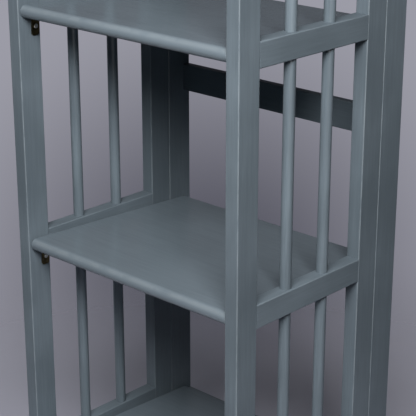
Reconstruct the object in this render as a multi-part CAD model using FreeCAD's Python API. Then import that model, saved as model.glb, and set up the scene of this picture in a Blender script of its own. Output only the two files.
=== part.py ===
# Folding bookcase: two spindled side frames hinged to a back frame, with shelves that tip up on rear pivots.
# Millimetres. Origin on the floor under the middle of the case, +Z up, the front towards -Y.
import math
import os

import FreeCAD
import Part

V = FreeCAD.Vector

# Case
case_width = 380.0
leg_clearance = 90.0            # floor to the underside of the lowest rails
shelf_levels = 4
shelf_pitch = 305.0
stile_horn = 40.0               # stile left standing above the top rails
edge_radius = 1.5               # eased edges of the wood

# Stiles, all of one thickness, seen from the front
stile_thickness = 19.0
front_stile_depth = 34.0
rear_stile_depth = 35.0
back_stile_depth = 41.0
side_opening = 190.0            # between the front stile and the rear stile

# Side rails and spindles
rail_height = 30.0
tenon_thickness = 8.0
tenon_length = 14.0
tenon_shoulder = 5.0
tenon_fit = 0.1
spindles_per_bay = 2
spindle_diameter = 14.0
spindle_seat = 10.0
spindle_fit = 0.05

# Back rails
back_rail_height = 37.0
back_rail_thickness = 12.0
back_tenon_thickness = 6.0
bottom_back_rail_drop = 26.0    # its top edge, below the top of the lowest side rails
middle_back_rail_drop = 131.0   # its top edge, below the top of the side rails next above it

# Shelves
shelf_thickness = 16.0
shelf_end_gap = 1.5
shelf_end_radius = 1.2          # eased edges of the shelf's ends
shelf_nose_setback = 2.0        # rounded front edge, behind the front of the stiles
shelf_front_drop = 6.0          # top of the shelf at the front, below the top of the rails
shelf_slope = 2.5               # degrees, down towards the back
shelf_tail = 12.0               # behind the pivot
pivot_behind_joint = 14.0       # pivot, behind the joint of side frame and back frame

# Shelf pivots
pin_diameter = 6.0
pin_seat = 25.0                 # in the shelf
pin_end_gap = 1.0               # from the pin's end to the bottom of its hole
bush_length = 12.0
bush_wall = 1.5
bush_flange_rim = 1.5
bush_flange_thickness = 1.0
running_fit = 0.05
seat_fit = 0.02

# Shelf supports
support_width = 12.0
support_plate = 1.6
support_leg = 23.5              # below the ledge
support_ledge = 12.0
support_corner = 3.0            # rounding of the leg's lower corners
support_setback = 20.5          # behind the front of the stile
support_gap = 0.1               # under the shelf
support_screw_diameter = 3.0
support_screw_length = 12.0     # in the stile
support_screw_drop = 12.0       # below the ledge
support_head_diameter = 6.0
support_head_height = 1.6
slot_width = 0.9
slot_depth = 0.6

# Hinges between side frame and back frame
hinge_height = 20.0
hinge_leaf_width = 13.0         # inside the joint
hinge_leaf_thickness = 1.2
hinge_knuckle_diameter = 6.0
hinge_pin_diameter = 2.5
hinge_below_shelf = 2.0
knuckle_gap = 0.2
hinge_screw_diameter = 2.5
hinge_screw_length = 12.0
hinge_screw_head = 4.8
hinge_screw_spacing = 11.0

# Feet
glide_diameter = 15.0
glide_thickness = 4.0
glide_nail_diameter = 2.5
glide_nail_length = 14.0

# Places worked out from the sizes
case_depth = front_stile_depth + side_opening + rear_stile_depth + back_stile_depth
case_height = leg_clearance + rail_height + (shelf_levels - 1) * shelf_pitch + stile_horn
inner_half = case_width / 2 - stile_thickness
front_y = -case_depth / 2
front_stile_back = front_y + front_stile_depth
rear_stile_front = front_stile_back + side_opening
joint_y = rear_stile_front + rear_stile_depth
back_y = joint_y + back_stile_depth
back_rail_front = back_y - back_rail_thickness
pivot_y = joint_y + pivot_behind_joint
slope = math.radians(shelf_slope)
shelf_reach = (pivot_y - front_y - shelf_nose_setback) / math.cos(slope)
pin_radius = pin_diameter / 2
bush_bore = pin_radius + running_fit
bush_radius = bush_bore + bush_wall
knuckle_radius = hinge_knuckle_diameter / 2
sides = (("left", -1), ("right", 1))


def rail_top(level):
    return leg_clearance + rail_height + level * shelf_pitch


def pivot_z(level):
    nose_rise = shelf_reach * math.sin(slope) + shelf_thickness / 2 * math.cos(slope)
    return rail_top(level) - shelf_front_drop - nose_rise


def box(x, y, z):
    # A block between two values on each axis, in either order
    low = V(min(x), min(y), min(z))
    return Part.makeBox(max(x) - low.x, max(y) - low.y, max(z) - low.z, low)


def rod(radius, start, end):
    run = end - start
    return Part.makeCylinder(radius, run.Length, start, run)


def edges_along(shape, way):
    return [e for e in shape.Edges if abs(e.tangentAt(e.FirstParameter).dot(way)) > 0.99]


def eased(board, along=None):
    # Rounds a board's edges: all of them, or only those that run along one direction
    return board.makeFillet(edge_radius, edges_along(board, along) if along else board.Edges)


def sloped(shape, level):
    # Turns what is drawn level about a shelf's pivot to the shelf's slope
    shape.rotate(V(0, pivot_y, pivot_z(level)), V(1, 0, 0), -shelf_slope)
    return shape


def across(side, inside=0.0, outside=0.0):
    # From a distance inside a side frame's inner face to a distance outside it
    return (side * (inner_half - inside), side * (inner_half + outside))


def export(shape, node):
    shape.exportStep("parts/" + node + ".step")


def export_group(shapes, node):
    export(Part.makeCompound(shapes), node)


# Joints in the wood

def side_tenon(side, level, at_front, fit=0.0):
    middle = side * (inner_half + stile_thickness / 2)
    half = tenon_thickness / 2 + fit
    root = front_stile_back if at_front else rear_stile_front
    tip = root - tenon_length - fit if at_front else root + tenon_length + fit
    top = rail_top(level) - tenon_shoulder + fit
    bottom = rail_top(level) - rail_height + tenon_shoulder - fit
    return box((middle - half, middle + half), (root, tip), (bottom, top))


def back_tenon(side, top, fit=0.0):
    middle = back_rail_front + back_rail_thickness / 2
    half = back_tenon_thickness / 2 + fit
    high = top - tenon_shoulder + fit
    low = top - back_rail_height + tenon_shoulder - fit
    return box(across(side, 0, tenon_length + fit), (middle - half, middle + half), (low, high))


def spindle_places():
    gap = (side_opening - spindles_per_bay * spindle_diameter) / (spindles_per_bay + 1)
    step = gap + spindle_diameter
    return [front_stile_back + gap + spindle_diameter / 2 + n * step for n in range(spindles_per_bay)]


def spindle(side, bay, y, fit=0.0):
    x = side * (inner_half + stile_thickness / 2)
    bottom = rail_top(bay) - spindle_seat
    top = rail_top(bay + 1) - rail_height + spindle_seat
    return rod(spindle_diameter / 2 + fit, V(x, y, bottom), V(x, y, top))


def back_rail_tops():
    return {
        "bottom": rail_top(0) - bottom_back_rail_drop,
        "middle": rail_top(shelf_levels // 2) - middle_back_rail_drop,
        "top": rail_top(shelf_levels - 1),
    }


# Hardware

def glide(x, y, fit=0.0):
    disc = rod(glide_diameter / 2, V(x, y, 0), V(x, y, glide_thickness))
    nail = rod(glide_nail_diameter / 2 + fit, V(x, y, 0), V(x, y, glide_thickness + glide_nail_length + fit))
    return disc.fuse(nail).removeSplitter()


def glide_places(side):
    x = side * (inner_half + stile_thickness / 2)
    return {"front": (x, front_y + front_stile_depth / 2), "back": (x, joint_y + back_stile_depth / 2)}


def bush_seat(side, level):
    z = pivot_z(level)
    start, end = across(side, 0, bush_length)
    return rod(bush_radius + seat_fit, V(start, pivot_y, z), V(end, pivot_y, z))


def bush(side, level):
    z = pivot_z(level)
    inner, outer = across(side, bush_flange_thickness, bush_length)
    face = side * inner_half
    body = rod(bush_radius, V(face, pivot_y, z), V(outer, pivot_y, z))
    flange = rod(bush_radius + bush_flange_rim, V(inner, pivot_y, z), V(face, pivot_y, z))
    hole = rod(bush_bore, V(inner, pivot_y, z), V(outer, pivot_y, z))
    return body.fuse(flange).cut(hole).removeSplitter()


def pivot_pin(side, level, fit=0.0):
    z = pivot_z(level)
    inner, outer = across(side, shelf_end_gap + pin_seat, bush_length - pin_end_gap)
    return rod(pin_radius + fit, V(inner, pivot_y, z), V(outer, pivot_y, z))


def support_middle():
    # Middle of a support, measured along the shelf from its pivot
    return (front_y + support_setback + support_width / 2 - pivot_y) / math.cos(slope)


def support_top(level):
    return pivot_z(level) - shelf_thickness / 2 - support_gap


def support_screw(side, level, fit=0.0):
    y = pivot_y + support_middle()
    z = support_top(level) - support_screw_drop
    plate, end = across(side, support_plate, support_screw_length)
    head_end = plate - side * support_head_height
    shank = rod(support_screw_diameter / 2 + fit, V(plate, y, z), V(end, y, z))
    if fit:
        return sloped(shank, level)
    head = rod(support_head_diameter / 2, V(plate, y, z), V(head_end, y, z))
    rim = [e for e in head.Edges if abs(e.CenterOfMass.x - head_end) < support_head_height / 4]
    head = head.makeFillet(support_head_height * 0.6, rim)
    slot_end = head_end + side * slot_depth
    half = support_head_diameter
    slot = box((head_end, slot_end), (y - half, y + half), (z - slot_width / 2, z + slot_width / 2))
    return sloped(shank.fuse(head).cut(slot).removeSplitter(), level)


def support(side, level):
    y = pivot_y + support_middle()
    wide = (y - support_width / 2, y + support_width / 2)
    top = support_top(level)
    bottom = top - support_leg
    leg = box(across(side, support_plate, 0), wide, (bottom, top))
    corners = [e for e in edges_along(leg, V(1, 0, 0)) if e.CenterOfMass.z < top - support_leg / 2]
    leg = leg.makeFillet(support_corner, corners)
    ledge = box(across(side, support_ledge, 0), wide, (top - support_plate, top))
    angle = sloped(leg.fuse(ledge).removeSplitter(), level)
    return angle.cut(support_screw(side, level, running_fit))


def hinge_span(level):
    top = pivot_z(level) - shelf_thickness / 2 - hinge_below_shelf
    return top - hinge_height, top


def knuckle_x(side):
    return side * (inner_half - knuckle_radius)


def hinge_pin(side, level, fit=0.0):
    low, high = hinge_span(level)
    x = knuckle_x(side)
    return rod(hinge_pin_diameter / 2 + fit, V(x, joint_y, low), V(x, joint_y, high))


def hinge_recess(side, level, towards):
    # The space of one leaf in its stile: towards is -1 for the side frame and 1 for the back frame
    reach = across(side, 0, hinge_leaf_width)
    return box(reach, (joint_y, joint_y + towards * hinge_leaf_thickness), hinge_span(level))


def hinge_screw(side, level, towards, place, fit=0.0):
    low, high = hinge_span(level)
    x = side * (inner_half + hinge_leaf_width / 2)
    z = (low + high) / 2 + place * hinge_screw_spacing / 2
    face = V(x, joint_y, z)
    way = V(0, towards, 0)
    shank = Part.makeCylinder(hinge_screw_diameter / 2 + fit, hinge_screw_length + fit, face, way)
    head = Part.makeCone(hinge_screw_head / 2 + fit, hinge_screw_diameter / 2 + fit, hinge_leaf_thickness, face, way)
    return shank.fuse(head).removeSplitter()


def hinge_leaf(side, level, towards):
    low, high = hinge_span(level)
    x = knuckle_x(side)
    third = hinge_height / 3
    ends = ((low, low + third), (high - third, high))
    middle = ((low + third, high - third),)
    own, other = (ends, middle) if towards < 0 else (middle, ends)
    plate = hinge_recess(side, level, towards)
    web = box((x, side * inner_half), (joint_y, joint_y + towards * hinge_leaf_thickness), (low, high))
    leaf = plate.fuse(web)
    for bottom, top in other:
        room = rod(knuckle_radius + knuckle_gap, V(x, joint_y, bottom), V(x, joint_y, top))
        leaf = leaf.cut(room)
    for bottom, top in own:
        lower = bottom + (knuckle_gap if bottom > low else 0)
        upper = top - (knuckle_gap if top < high else 0)
        leaf = leaf.fuse(rod(knuckle_radius, V(x, joint_y, lower), V(x, joint_y, upper)))
    leaf = leaf.cut(hinge_pin(side, level, running_fit))
    for place in (-1, 1):
        leaf = leaf.cut(hinge_screw(side, level, towards, place, seat_fit))
    return leaf.removeSplitter()


# Wooden pieces

def stile(side, low_y, high_y):
    return eased(box(across(side, 0, stile_thickness), (low_y, high_y), (glide_thickness, case_height)))


def front_stile(side):
    wood = stile(side, front_y, front_stile_back)
    for level in range(shelf_levels):
        wood = wood.cut(side_tenon(side, level, True, tenon_fit))
        wood = wood.cut(support_screw(side, level, seat_fit))
    return wood.cut(glide(*glide_places(side)["front"], seat_fit))


def rear_stile(side):
    wood = stile(side, rear_stile_front, joint_y)
    for level in range(shelf_levels):
        wood = wood.cut(side_tenon(side, level, False, tenon_fit))
        wood = wood.cut(hinge_recess(side, level, -1))
        for place in (-1, 1):
            wood = wood.cut(hinge_screw(side, level, -1, place, seat_fit))
    return wood


def back_stile(side):
    wood = stile(side, joint_y, back_y)
    for top in back_rail_tops().values():
        wood = wood.cut(back_tenon(side, top, tenon_fit))
    for level in range(shelf_levels):
        wood = wood.cut(bush_seat(side, level))
        wood = wood.cut(hinge_recess(side, level, 1))
        for place in (-1, 1):
            wood = wood.cut(hinge_screw(side, level, 1, place, seat_fit))
    return wood.cut(glide(*glide_places(side)["back"], seat_fit))


def side_rail(side, level):
    top = rail_top(level)
    span = (front_stile_back, rear_stile_front)
    wood = eased(box(across(side, 0, stile_thickness), span, (top - rail_height, top)), V(0, 1, 0))
    wood = wood.fuse([side_tenon(side, level, True), side_tenon(side, level, False)])
    for y in spindle_places():
        if level < shelf_levels - 1:
            wood = wood.cut(spindle(side, level, y, spindle_fit))
        if level > 0:
            wood = wood.cut(spindle(side, level - 1, y, spindle_fit))
    return wood.removeSplitter()


def back_rail(top):
    bar = box((-inner_half, inner_half), (back_rail_front, back_y), (top - back_rail_height, top))
    bar = eased(bar, V(1, 0, 0))
    return bar.fuse([back_tenon(side, top) for name, side in sides]).removeSplitter()


def shelf(level):
    # Section through the board, from its rounded nose to its eased rear edge, drawn level at its pivot
    half = shelf_thickness / 2
    z = pivot_z(level)
    nose_y = pivot_y - shelf_reach
    tail_y = pivot_y + shelf_tail
    x = shelf_end_gap - inner_half
    bend = edge_radius * math.sqrt(0.5)

    def at(y, up):
        return V(x, y, z + up)

    turn_y = tail_y - edge_radius
    turn_up = half - edge_radius
    section = [
        Part.Arc(at(nose_y + half, -half), at(nose_y, 0), at(nose_y + half, half)),
        Part.LineSegment(at(nose_y + half, half), at(turn_y, half)),
        Part.Arc(at(turn_y, half), at(turn_y + bend, turn_up + bend), at(tail_y, turn_up)),
        Part.LineSegment(at(tail_y, turn_up), at(tail_y, -turn_up)),
        Part.Arc(at(tail_y, -turn_up), at(turn_y + bend, -turn_up - bend), at(turn_y, -half)),
        Part.LineSegment(at(turn_y, -half), at(nose_y + half, -half)),
    ]
    outline = Part.Wire([piece.toShape() for piece in section])
    board = Part.Face(outline).extrude(V(-2 * x, 0, 0))
    ends = [e for e in board.Edges if abs(e.CenterOfMass.x) > abs(x) - shelf_end_gap]
    board = board.makeFillet(shelf_end_radius, ends)
    for name, side in sides:
        board = board.cut(pivot_pin(side, level, seat_fit))
    return sloped(board, level)


os.makedirs("parts", exist_ok=True)
levels = range(shelf_levels)
for name, side in sides:
    export(front_stile(side), "front_stile_" + name)
    export(rear_stile(side), "rear_stile_" + name)
    export(back_stile(side), "back_stile_" + name)
    for level in levels:
        export(side_rail(side, level), f"side_rail_{name}_{level + 1}")
    for bay in range(shelf_levels - 1):
        for n, y in enumerate(spindle_places()):
            export(spindle(side, bay, y), f"spindle_{name}_{bay + 1}_{n + 1}")
    export_group([bush(side, level) for level in levels], "pivot_bushes_" + name)
    export_group([support(side, level) for level in levels], "shelf_supports_" + name)
    export_group([support_screw(side, level) for level in levels], "support_screws_" + name)
    export_group([hinge_leaf(side, level, 1) for level in levels], "hinge_back_leaves_" + name)
    export_group([hinge_leaf(side, level, -1) for level in levels], "hinge_side_leaves_" + name)
    export_group([hinge_pin(side, level) for level in levels], "hinge_pins_" + name)
    screws = [hinge_screw(side, level, way, place) for level in levels for way in (-1, 1) for place in (-1, 1)]
    export_group(screws, "hinge_screws_" + name)
for name, top in back_rail_tops().items():
    export(back_rail(top), "back_rail_" + name)
for level in levels:
    export(shelf(level), f"shelf_{level + 1}")
    export_group([pivot_pin(side, level) for name, side in sides], f"shelf_pins_{level + 1}")
export_group([glide(x, y) for name, side in sides for x, y in glide_places(side).values()], "foot_glides")
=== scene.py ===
import math

import bmesh
import bpy
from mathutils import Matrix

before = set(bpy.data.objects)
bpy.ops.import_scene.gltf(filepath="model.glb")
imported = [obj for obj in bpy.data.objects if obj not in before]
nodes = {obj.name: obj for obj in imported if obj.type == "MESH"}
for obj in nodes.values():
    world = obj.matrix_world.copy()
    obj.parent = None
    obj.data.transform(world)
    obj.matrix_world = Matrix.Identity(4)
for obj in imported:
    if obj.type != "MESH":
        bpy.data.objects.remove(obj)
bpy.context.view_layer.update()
print("loaded", len(nodes), "pieces of the bookcase")


# A socket of a node tree, so that shader maths reads as plain sums
class Wire:
    def __init__(self, tree, socket=None):
        self.tree = tree
        self.socket = socket

    def add(self, kind, settings=None, values=None, out=0):
        node = self.tree.nodes.new(kind)
        for name, value in (settings or {}).items():
            if name == "stops":  # places and greys of a ramp
                for stop, (place, grey) in zip(node.color_ramp.elements, value):
                    stop.position = place
                    stop.color = (grey, grey, grey, 1)
            else:
                setattr(node, name, value)
        for key, value in (values or {}).items():
            if isinstance(value, Wire):
                self.tree.links.new(value.socket, node.inputs[key])
            else:
                node.inputs[key].default_value = value
        return Wire(self.tree, node.outputs[out])

    def maths(self, operation, *others):
        values = dict(enumerate((self, *others)))
        return self.add("ShaderNodeMath", {"operation": operation}, values)

    def __add__(self, other):
        return self.maths("ADD", other)

    def __mul__(self, other):
        return self.maths("MULTIPLY", other)

    def __sub__(self, other):
        return self.maths("SUBTRACT", other)

    def __rsub__(self, other):
        return self.add("ShaderNodeMath", {"operation": "SUBTRACT"}, {0: other, 1: self})

    __radd__ = __add__
    __rmul__ = __mul__

    def swing(self):  # what a noise is above or below its middle
        return self - 0.5

    def rise(self, low, high):  # straight ramp from 0 to 1
        return self.add("ShaderNodeValToRGB", {"stops": ((low, 0.0), (high, 1.0))}, {0: self})

    def ease(self, low, high):  # the same with soft ends
        values = {"Value": self, "From Min": low, "From Max": high}
        return self.add("ShaderNodeMapRange", {"interpolation_type": "SMOOTHSTEP"}, values)

    def between(self, first, second):  # colour mix, with this value as the second colour's share
        values = {0: self, 6: first, 7: second}  # a Mix node's colours have the sockets 6 and 7
        return self.add("ShaderNodeMix", {"data_type": "RGBA"}, values, out=2)


def newMaterial(name):
    material = bpy.data.materials.new(name)
    material.use_nodes = True
    tree = material.node_tree
    shader = next(n for n in tree.nodes if n.type == "BSDF_PRINCIPLED")
    return material, Wire(tree), shader


def feed(wire, shader, socket):
    wire.tree.links.new(wire.socket, shader.inputs[socket])


noiseSet = {"detail": 4.0, "rough": 0.55, "shift": 0.0}  # where a pattern doesn't say otherwise


def fineNoise(start, pattern, stretch=(1, 1, 1), shift=0.0):
    s = {**noiseSet, **pattern}
    shift += s["shift"]
    spot = start.add("ShaderNodeTexCoord", out="Object")
    values = {"Vector": spot, "Location": (shift, 2 * shift, 3 * shift), "Scale": stretch}
    spot = start.add("ShaderNodeMapping", None, values)
    values = {"Vector": spot, "Scale": s["scale"], "Detail": s["detail"], "Roughness": s["rough"]}
    return start.add("ShaderNodeTexNoise", None, values)


def addBump(height, shader, s):
    values = {"Strength": s["bump"], "Distance": s["bumpDepth"], "Height": height}
    feed(height.add("ShaderNodeBump", None, values), shader, "Normal")


edgeTurn = (0.01, 0.16)  # how far the surface has turned where the paler edge, part wear and part painted highlight, starts and where it is full


def edgeWearAndHighlight(start):
    # Pale where the surface turns between a piece's flat faces: partly edge wear, partly a painted
    # highlight along the edges
    normal = start.add("ShaderNodeTexCoord", out="Normal")
    sides = [start.add("ShaderNodeSeparateXYZ", None, {0: normal}, out=axis) for axis in "XYZ"]
    x, y, z = [side.maths("ABSOLUTE") for side in sides]
    flat = x.maths("MAXIMUM", y).maths("MAXIMUM", z)
    return (1 - flat).rise(*edgeTurn)


# Slate paint on planed wood: brushed along the grain, a little paler at the edges, partly from handling
# wear and partly as a painted highlight
paintSet = {
    "shade": (0.114, 0.142, 0.164, 1),
    "slate": (0.167, 0.205, 0.235, 1),
    # the paler edge colour below is worn paint and partly a painted highlight where edges catch the light
    "wornAndLitEdge": (0.255, 0.288, 0.308, 1),
    "clouds": {"scale": 9.0, "detail": 2.0},  # slow changes of tone
    "streaks": {"scale": 210.0, "detail": 5.0, "rough": 0.6, "shift": 3.1},  # brush marks
    "pores": {"scale": 900.0, "detail": 3.0, "rough": 0.5, "shift": 7.7},  # open grain under the paint
    "patches": {"scale": 46.0, "shift": 11.0},  # where the paler edge shows: handling wear, with a painted highlight mixed in
    "patchRange": (0.25, 0.6),
    "poreRange": (0.34, 0.46),
    "toneRange": (-0.12, 0.12),  # from shade to slate
    "streakTone": 0.55,  # the streaks' share in the tone, beside the pores
    "streakSheen": 0.6,  # in the sheen, beside the clouds
    "streakRelief": 0.6,  # in the relief, beside the pores
    "bump": 0.14,
    "bumpDepth": 0.0004,
    "ior": 1.47,
}
long = 0.035  # patterns along the grain, against across it
upGrain = (1, 1, long)
deepGrain = (1, long, 1)
crossGrain = (long, 1, 1)
satin = {"clouds": 0.30, "roughness": 0.44, "spread": 0.20, "shine": 0.30}
glossy = {"clouds": 0.15, "roughness": 0.21, "spread": 0.06, "shine": 0.50}
# one paint, made paler on the boards as painted light on their lit tops and darker on the uprights and
# back rails as painted shade
paintUses = {
    "upright": {**satin, "grain": 0.30, "wearAndHighlight": 0.55, "paintedLightAndShade": -0.03, "stretch": upGrain, "shift": 0.0},
    "deepward": {**satin, "grain": 0.26, "wearAndHighlight": 0.20, "paintedLightAndShade": 0.0, "stretch": deepGrain, "shift": 0.4},
    "crosswise": {**satin, "grain": 0.26, "wearAndHighlight": 0.20, "paintedLightAndShade": -0.03, "stretch": crossGrain, "shift": 0.9},
    "board": {**glossy, "grain": 0.22, "wearAndHighlight": 0.35, "paintedLightAndShade": 0.045, "stretch": crossGrain, "shift": 1.7},
    "spindle": {**satin, "grain": 0.45, "wearAndHighlight": 0.0, "paintedLightAndShade": 0.0, "stretch": upGrain, "shift": 2.3},
}


def paintedWood(use, s):
    p = paintSet
    material, start, shader = newMaterial("slatePaint" + use.capitalize())
    clouds = fineNoise(start, p["clouds"], shift=s["shift"])
    streaks = fineNoise(start, p["streaks"], s["stretch"], s["shift"])
    pores = fineNoise(start, p["pores"], s["stretch"], s["shift"])
    grain = streaks * p["streakTone"] + pores * (1 - p["streakTone"])
    # the tone is shifted for each use by painted light or painted shade
    tone = clouds.swing() * s["clouds"] + grain.swing() * s["grain"] + s["paintedLightAndShade"]
    colour = tone.ease(*p["toneRange"]).between(p["shade"], p["slate"])
    # paler along the edges: worn paint, partly a painted highlight
    if s["wearAndHighlight"]:
        patches = fineNoise(start, p["patches"], shift=s["shift"]).ease(*p["patchRange"])
        colour = (edgeWearAndHighlight(start) * patches * s["wearAndHighlight"]).between(colour, p["wornAndLitEdge"])
    feed(colour, shader, "Base Color")
    sheen = clouds * (1 - p["streakSheen"]) + streaks * p["streakSheen"]
    feed(s["roughness"] + sheen.swing() * s["spread"], shader, "Roughness")
    relief = streaks * p["streakRelief"] + pores.ease(*p["poreRange"]) * (1 - p["streakRelief"])
    addBump(relief, shader, p)
    shader.inputs["IOR"].default_value = p["ior"]
    shader.inputs["Specular IOR Level"].default_value = s["shine"]
    return material


paints = {use: paintedWood(use, s) for use, s in paintUses.items()}
print("paint mixed")


# Metals: a tone that drifts, with fine scratches in the sheen
metalSet = {
    "drift": {"scale": 130.0, "detail": 5.0},
    "driftRange": (0.34, 0.66),
    "bareAndLitRange": (0.3, 0.6),
    "scratches": {"scale": 1500.0, "detail": 2.0, "shift": 4.0},
    "scratchStretch": (1, 1, 0.06),
    "spread": 0.2,  # of the roughness
    "bump": 0.08,
    "bumpDepth": 0.0002,
}
metalTones = {
    "darkBrass": {"low": (0.06, 0.048, 0.026, 1), "high": (0.17, 0.135, 0.07, 1), "roughness": 0.42,
                  "bareAndLitEdge": (0.62, 0.52, 0.30, 1)},  # bare metal along the edges, partly a painted highlight where the edges catch light
    "brass": {"low": (0.32, 0.225, 0.085, 1), "high": (0.52, 0.38, 0.16, 1), "roughness": 0.42},
    "steel": {"low": (0.62, 0.62, 0.61, 1), "high": (0.84, 0.84, 0.82, 1), "roughness": 0.40},
}


def metal(name, s):
    m = metalSet
    material, start, shader = newMaterial(name)
    drift = fineNoise(start, m["drift"])
    scratches = fineNoise(start, m["scratches"], m["scratchStretch"])
    colour = drift.rise(*m["driftRange"]).between(s["low"], s["high"])
    if "bareAndLitEdge" in s:
        # paler along the edges: worn bare metal, and partly a painted highlight
        colour = (edgeWearAndHighlight(start) * drift.ease(*m["bareAndLitRange"])).between(colour, s["bareAndLitEdge"])
    feed(colour, shader, "Base Color")
    feed(s["roughness"] + (drift.swing() + scratches.swing()) * m["spread"], shader, "Roughness")
    addBump(scratches, shader, m)
    shader.inputs["Metallic"].default_value = 1.0
    return material


metals = {name: metal(name, s) for name, s in metalTones.items()}
print("metals mixed")


# Dark plastic of the glides, scuffed by the floor
glideSet = {
    "low": (0.018, 0.018, 0.019, 1),
    "high": (0.045, 0.045, 0.047, 1),
    "grain": {"scale": 700.0, "detail": 3.0},
    "scuff": {"scale": 90.0, "shift": 5.0},
    "scuffRange": (0.38, 0.68),
    "roughness": 0.55,
    "spread": 0.5,  # of the roughness
    "bump": 0.15,
    "bumpDepth": 0.0002,
}


def glidePlastic():
    s = glideSet
    material, start, shader = newMaterial("glidePlastic")
    grain = fineNoise(start, s["grain"])
    scuff = fineNoise(start, s["scuff"])
    feed(scuff.rise(*s["scuffRange"]).between(s["low"], s["high"]), shader, "Base Color")
    feed(s["roughness"] + scuff.swing() * s["spread"], shader, "Roughness")
    addBump(grain, shader, s)
    return material


glide = glidePlastic()
print("glide plastic mixed")


# Which finish each piece wears: the first line whose words start its name
finishes = (
    ("front_stile", paints["upright"]),
    ("rear_stile", paints["upright"]),
    ("back_stile", paints["upright"]),
    ("side_rail", paints["deepward"]),
    ("back_rail", paints["crosswise"]),
    ("shelf_supports", metals["darkBrass"]),
    ("shelf_pins", metals["steel"]),
    ("shelf_", paints["board"]),
    ("spindle", paints["spindle"]),
    ("pivot_bushes", metals["brass"]),
    ("hinge_back", metals["brass"]),
    ("hinge_side", metals["brass"]),
    ("hinge_", metals["steel"]),  # pins and screws
    ("support_screws", metals["steel"]),
    ("foot_glides", glide),
)
for name, piece in nodes.items():
    finish = next(finish for words, finish in finishes if name.startswith(words))
    for slot in piece.material_slots:
        slot.material = finish
print("finishes given to", len(nodes), "pieces")


# Plain pale floor
floorSet = {
    "size": 8.0,
    "low": (0.45, 0.45, 0.53, 1),
    "high": (0.49, 0.49, 0.57, 1),
    "mottle": {"scale": 6.0},
    "roughness": 0.8,
    "shine": 0.1,
    "fade": (0.30, 1.10),  # metres from the middle, over which the floor melts into the room
}


def layFloor():
    s = floorSet
    mesh = bpy.data.meshes.new("floor")
    shape = bmesh.new()
    bmesh.ops.create_grid(shape, x_segments=1, y_segments=1, size=s["size"] / 2)
    shape.to_mesh(mesh)
    shape.free()
    floor = bpy.data.objects.new("floor", mesh)
    bpy.context.scene.collection.objects.link(floor)
    material, start, shader = newMaterial("paleFloor")
    feed(fineNoise(start, s["mottle"]).between(s["low"], s["high"]), shader, "Base Color")
    spot = start.add("ShaderNodeTexCoord", out="Object")
    away = start.add("ShaderNodeVectorMath", {"operation": "LENGTH"}, {0: spot}, out="Value")
    feed(1 - away.ease(*s["fade"]), shader, "Alpha")
    shader.inputs["Roughness"].default_value = s["roughness"]
    shader.inputs["Specular IOR Level"].default_value = s["shine"]
    mesh.materials.append(material)


layFloor()
print("floor laid")


# Soft studio light: three large lamps that leave no reflections, and a small one that leaves only those
lightSet = {
    "key": {"place": (0.80, -1.00, 1.56), "aim": (0.0, -0.05, 0.50), "wide": 1.05, "high": 0.55,
            "power": 40.0, "reflected": False},  # above the camera
    "left": {"place": (-3.0, 0.4, 0.45), "aim": (0.0, 0.0, 0.45), "wide": 2.2, "high": 0.70,
             "power": 42.0, "reflected": False},  # low and wide
    "back": {"place": (-2.05, 2.45, 0.08), "aim": (0.0, 0.0, 0.40), "wide": 1.2, "high": 0.12,
             "power": 42.0, "reflected": False},  # a strip near the floor
    "glint": {"place": (1.6, -0.9, 0.5), "aim": (-0.18, -0.14, 0.6), "wide": 0.3, "high": 0.3,
              "power": 8.0, "reflected": True},  # for the screws
}


def toward(place, aim):
    x, y, z = [a - p for a, p in zip(aim, place)]
    return math.atan2(math.hypot(x, y), -z), 0.0, math.atan2(-x, y)


def hangLamp(name, s):
    lamp = bpy.data.lights.new(name, "AREA")
    lamp.shape = "RECTANGLE"
    lamp.size = s["wide"]
    lamp.size_y = s["high"]
    lamp.energy = s["power"]
    light = bpy.data.objects.new(name, lamp)
    light.location = s["place"]
    light.rotation_euler = toward(s["place"], s["aim"])
    light.visible_glossy = s["reflected"]
    light.visible_diffuse = not s["reflected"]
    bpy.context.scene.collection.objects.link(light)


for name, s in lightSet.items():
    hangLamp(name, s)
print("lamps hung")


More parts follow.
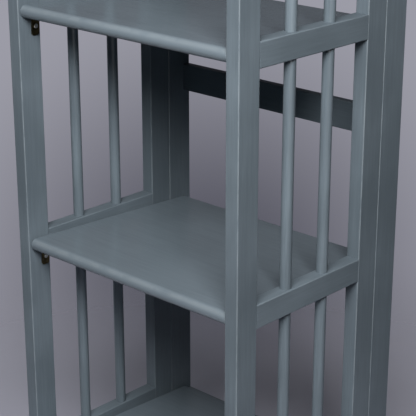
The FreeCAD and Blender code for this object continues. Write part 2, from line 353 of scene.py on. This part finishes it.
# A dim room with a pale backdrop behind the bookcase, and a painted shadow on the backdrop behind it
roomSet = {
    "colour": (0.27, 0.27, 0.315, 1),  # of the light that the room gives
    "dim": 0.03,  # light from the room in front
    "glow": 0.3,  # light from the backdrop
    "behind": (-0.72, 0.69, 0),  # the way to the backdrop's middle
    "spread": (0.5, 0.97),  # cosines between which the glow grows
    "pale": (0.33, 0.33, 0.382, 1),  # the backdrop as it is seen
    "paintedShadow": (0.084, 0.084, 0.110, 1),  # painted shadow on the backdrop, darkest behind the middle shelf
    "paintedShadowWay": (-0.628, 0.671, -0.394),
    "paintedShadowReach": (0.015, 0.245),  # angles from that spot, in radians
}


def makeRoom():
    s = roomSet
    room = bpy.data.worlds.new("room")
    room.use_nodes = True
    background = room.node_tree.nodes["Background"]
    start = Wire(room.node_tree)
    way = start.add("ShaderNodeTexCoord", out="Generated")  # direction from which the light comes
    seen = start.add("ShaderNodeLightPath", out="Is Camera Ray")  # 1 where the camera looks at the room

    def cosine(aim):
        values = {0: way, 1: aim}
        return start.add("ShaderNodeVectorMath", {"operation": "DOT_PRODUCT"}, values, out="Value")

    angle = cosine(s["paintedShadowWay"]).maths("ARCCOSINE")
    # the backdrop as seen, with a painted shadow behind the bookcase
    backdrop = angle.ease(*s["paintedShadowReach"]).between(s["paintedShadow"], s["pale"])
    lit = cosine(s["behind"]).ease(*s["spread"]) * s["glow"] + s["dim"]
    feed(seen.between(s["colour"], backdrop), background, "Color")
    feed(seen + (1 - seen) * lit, background, "Strength")
    bpy.context.scene.world = room
    bpy.context.scene.view_settings.view_transform = "Standard"


makeRoom()
print("room made")


# Camera at the photograph's angle, above the middle shelf and looking down a little
cameraSet = {"place": (1.106, -1.176, 1.051), "turn": 43.11, "down": 19.95, "lens": 116.7}


def setCamera():
    s = cameraSet
    camera = bpy.data.cameras.new("camera")
    camera.lens = s["lens"]
    viewer = bpy.data.objects.new("camera", camera)
    viewer.location = s["place"]
    viewer.rotation_euler = (math.radians(90 - s["down"]), 0.0, math.radians(s["turn"]))
    bpy.context.scene.collection.objects.link(viewer)
    bpy.context.scene.camera = viewer


setCamera()
print("camera set")
